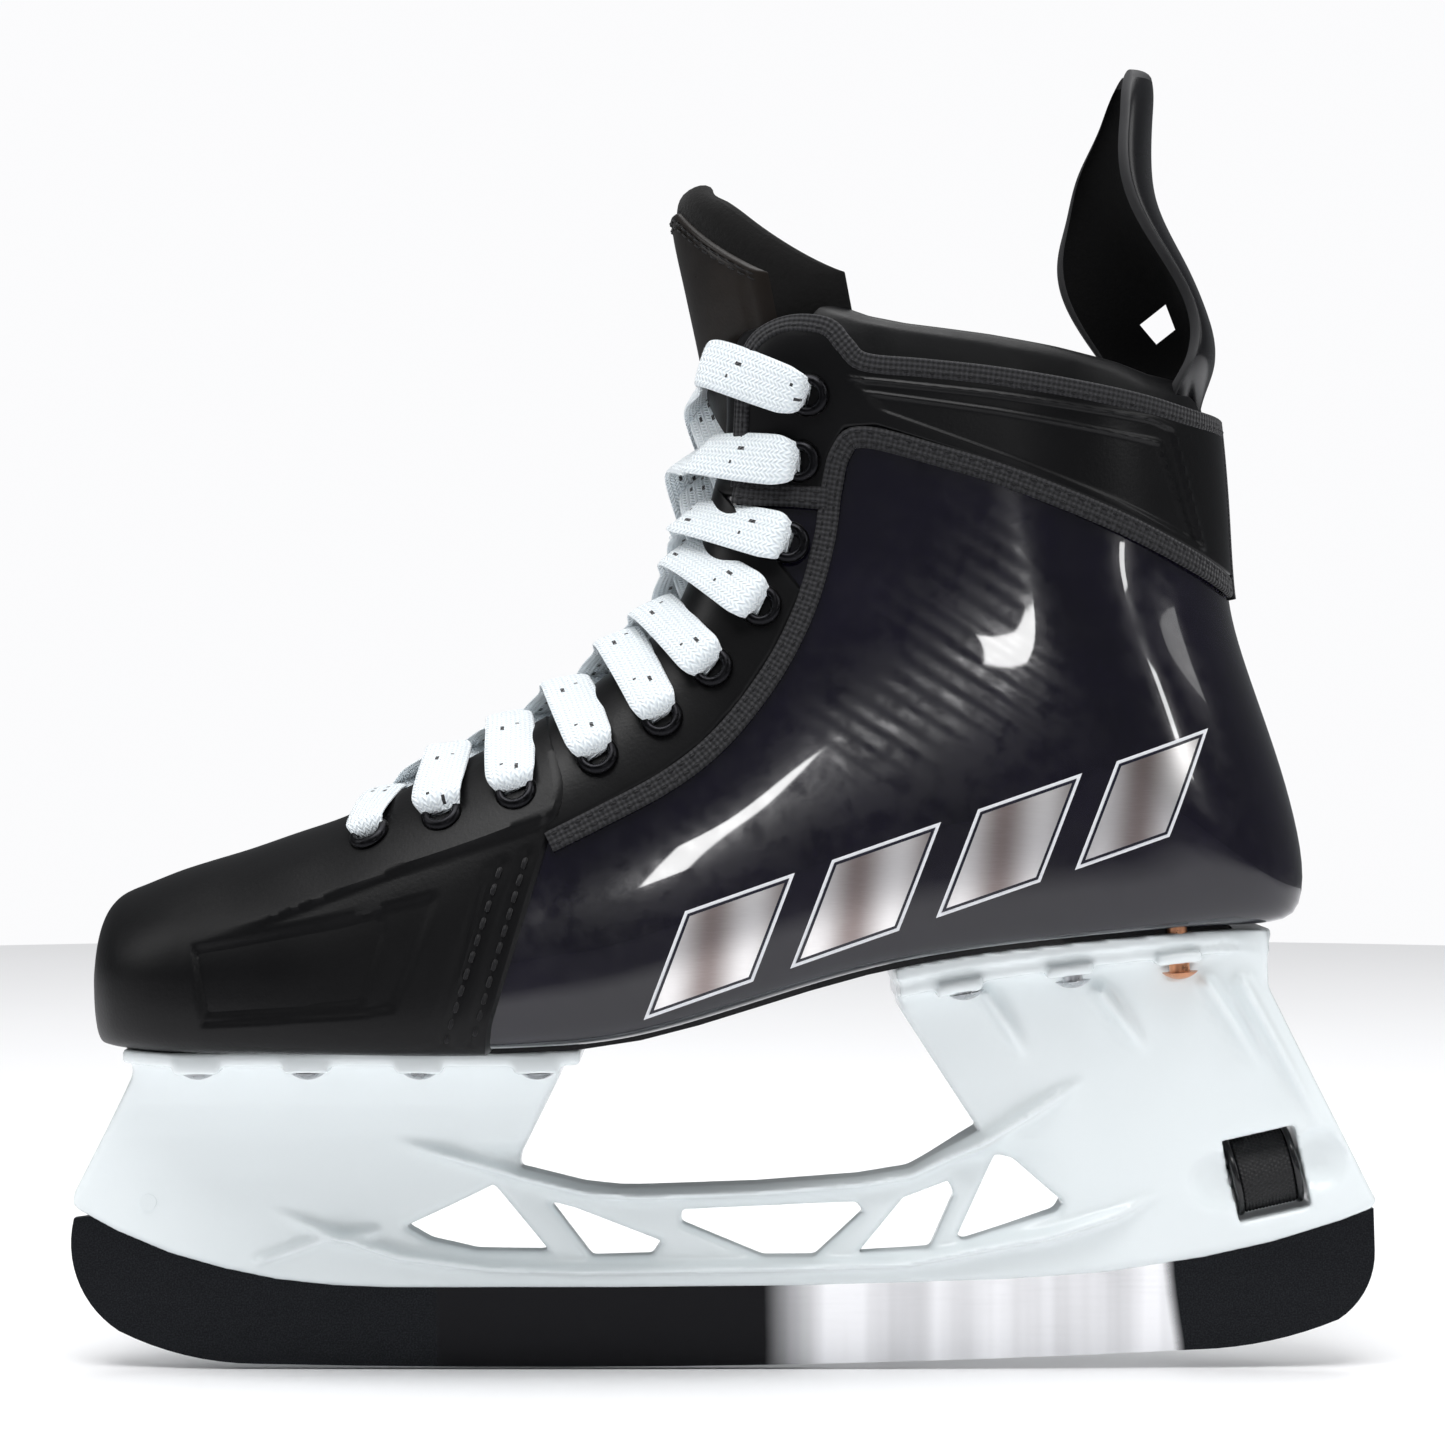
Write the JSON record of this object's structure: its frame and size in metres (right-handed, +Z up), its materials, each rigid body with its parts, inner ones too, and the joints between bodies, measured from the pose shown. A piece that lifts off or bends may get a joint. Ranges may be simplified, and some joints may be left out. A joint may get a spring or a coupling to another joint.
{
  "type": "ice hockey skate",
  "caption": "Left ice hockey skate: rigid laced boot with tongue and tendon guard on a white moulded holder with a removable steel runner.",
  "frame": {"origin": "centre of the footprint box, at the level of the runner's lowest point", "axes": "+Z up, -X towards the toe, -Y towards the outer side of the foot, +Y across the skate"},
  "size_m": [0.3124, 0.1019, 0.3102],
  "materials": {
    "shell": "glossy composite",
    "toe_cap": "fine matte",
    "matte_trim": "moulded matte",
    "binding": "woven tape",
    "lining": "brushed microfibre",
    "padding": "smooth synthetic leather over foam",
    "felt": "felt",
    "board": "composite board",
    "outsole": "composite",
    "badge": "brushed silver film",
    "eyelet": "black",
    "lace": "flat woven",
    "tongue": "felt backed synthetic",
    "shield": "smooth synthetic",
    "guard": "flexible plastic",
    "holder": "white nylon",
    "steel": "polished",
    "rivet": "zinc plated",
    "copper": "copper plated",
    "wheel": "knurled",
    "wheel_rim": "black"
  },
  "bodies": {
    "boot": {"shell": "shell", "toe_cap": "toe_cap", "toe_lining": "felt", "outsole": "outsole", "ankle_lining": "lining", "collar_padding": "padding", "collar_front_pads": "padding", "insole_board": "board", "footbed": "lining", "facing_lateral": "matte_trim", "facing_medial": "matte_trim", "cuff_lateral": "matte_trim", "cuff_medial": "matte_trim", "binding_lateral": "binding", "binding_medial": "binding", "top_tape_lateral": "binding", "top_tape_medial": "binding", "back_stay": "binding", "badge_lateral": "badge", "badge_medial": "badge", "eyelets_lateral": "eyelet", "eyelets_medial": "eyelet", "lace": "lace", "tongue_lower": "tongue", "tongue_neck": "tongue", "guard_base": "guard", "holder": "holder", "anchor_pin": "steel", "front_rivets": "rivet", "rear_rivets": "rivet", "copper_rivet": "copper", "rivet_washers": "rivet"},
    "tongue_top": {"tongue_pad": "tongue", "tongue_shield": "shield"},
    "guard_top": {"tendon_guard": "guard"},
    "blade": {"runner": "steel"},
    "wheel": {"thumb_wheel": "wheel", "wheel_rims": "wheel_rim"},
    "bolt": {"lock_bolt": "rivet"}
  },
  "joints": [
    {"name": "tongue_fold", "type": "hinge", "parent": "boot", "child": "tongue_top", "pos_m": [-0.0085, 0, 0.2488], "axis": [0, -1, 0], "range_deg": [0, 70], "stiffness_Nm_per_rad": 0.4},
    {"name": "guard_flex", "type": "hinge", "parent": "boot", "child": "guard_top", "pos_m": [0.1176, 0, 0.243], "axis": [0, 1, 0], "range_deg": [0, 22], "stiffness_Nm_per_rad": 2},
    {"name": "runner_release", "type": "hinge", "parent": "boot", "child": "blade", "pos_m": [-0.137, 0, 0.04], "axis": [0, 1, 0], "range_deg": [0, 7]},
    {"name": "wheel_turn", "type": "hinge", "parent": "boot", "child": "wheel", "pos_m": [0.1293, 0, 0.0472], "axis": [0.9744, 0, 0.225], "range_deg": [0, 720]},
    {"name": "bolt_travel", "type": "slide", "parent": "boot", "child": "bolt", "axis": [0.9744, 0, 0.225], "range_m": [0, 0.0025]}
  ],
  "couplings": [
    {"joint": "bolt_travel", "follows": "wheel_turn", "m_per_rad": 0.00019894}
  ]
}
